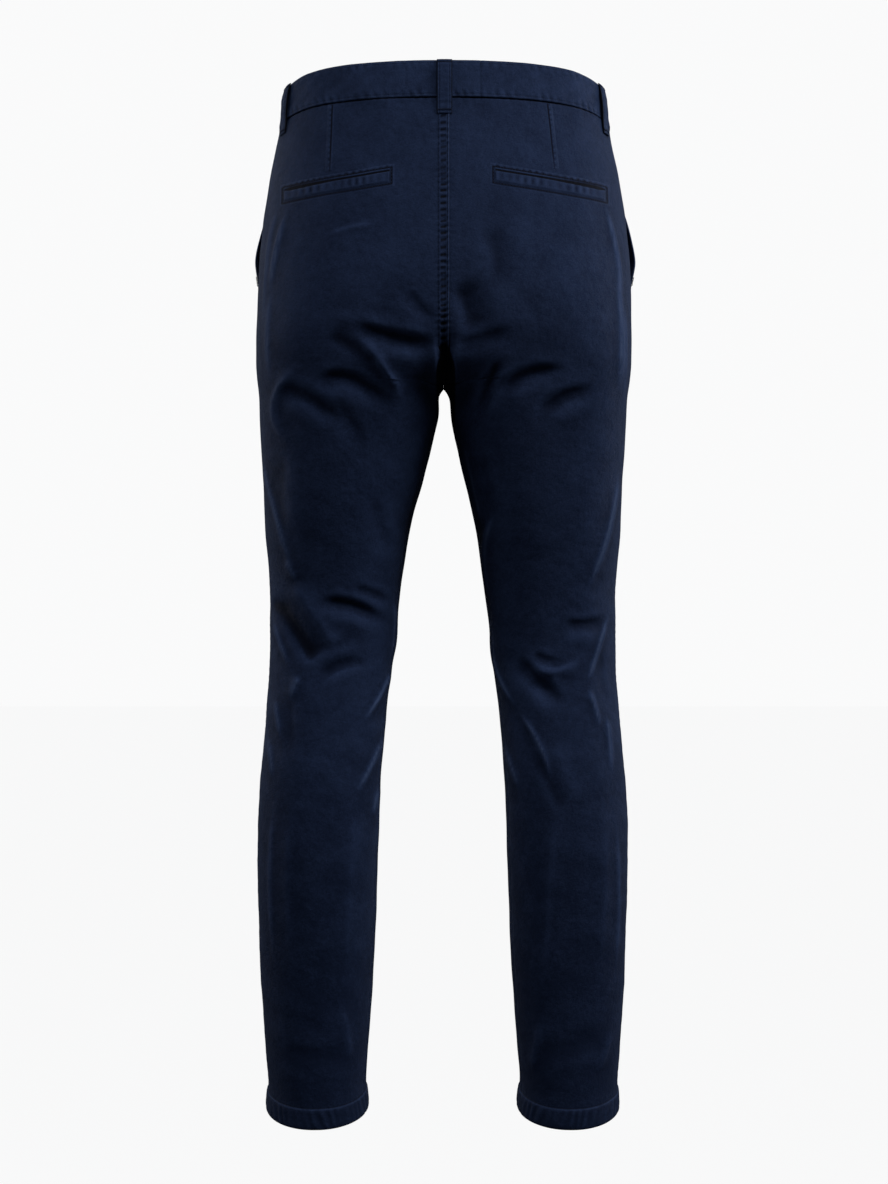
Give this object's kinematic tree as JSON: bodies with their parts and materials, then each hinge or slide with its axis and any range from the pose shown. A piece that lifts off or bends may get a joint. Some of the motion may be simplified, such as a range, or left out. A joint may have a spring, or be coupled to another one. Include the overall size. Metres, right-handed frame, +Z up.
{
  "type": "chino trousers",
  "caption": "Slim tapered navy cotton-twill chino trousers, hollow and filled out as worn, with waistband, belt loops, fly, slanted and welt pockets.",
  "frame": {"origin": "centre of the waist opening, about mid-height of the waistband", "axes": "+Z up along the body, -Y towards the garment's front, +X towards the wearer's left"},
  "size_m": [0.3866, 0.2513, 1.0578],
  "materials": {
    "back_left": "matt washed cotton twill",
    "back_right": "matt washed cotton twill",
    "front_left": "matt washed cotton twill",
    "front_right": "matt washed cotton twill",
    "pocket_bearer_left": "matt washed cotton twill",
    "pocket_bearer_right": "matt washed cotton twill",
    "waistband": "matt washed cotton twill",
    "fly_shield": "matt washed cotton twill",
    "back_welt_left": "matt washed cotton twill",
    "back_welt_right": "matt washed cotton twill",
    "belt_loop_back": "matt washed cotton twill",
    "belt_loop_side_left": "matt washed cotton twill",
    "belt_loop_side_right": "matt washed cotton twill",
    "belt_loop_front_left": "matt washed cotton twill",
    "belt_loop_front_right": "matt washed cotton twill",
    "waist_button": "semi-matt dyed resin"
  },
  "bodies": {
    "root": {"back_left": "back_left", "back_right": "back_right", "front_left": "front_left", "front_right": "front_right", "pocket_bearer_left": "pocket_bearer_left", "pocket_bearer_right": "pocket_bearer_right", "waistband": "waistband", "fly_shield": "fly_shield", "back_welt_left": "back_welt_left", "back_welt_right": "back_welt_right", "belt_loop_back": "belt_loop_back", "belt_loop_side_left": "belt_loop_side_left", "belt_loop_side_right": "belt_loop_side_right", "belt_loop_front_left": "belt_loop_front_left", "belt_loop_front_right": "belt_loop_front_right", "waist_button": "waist_button"}
  },
  "joints": []
}
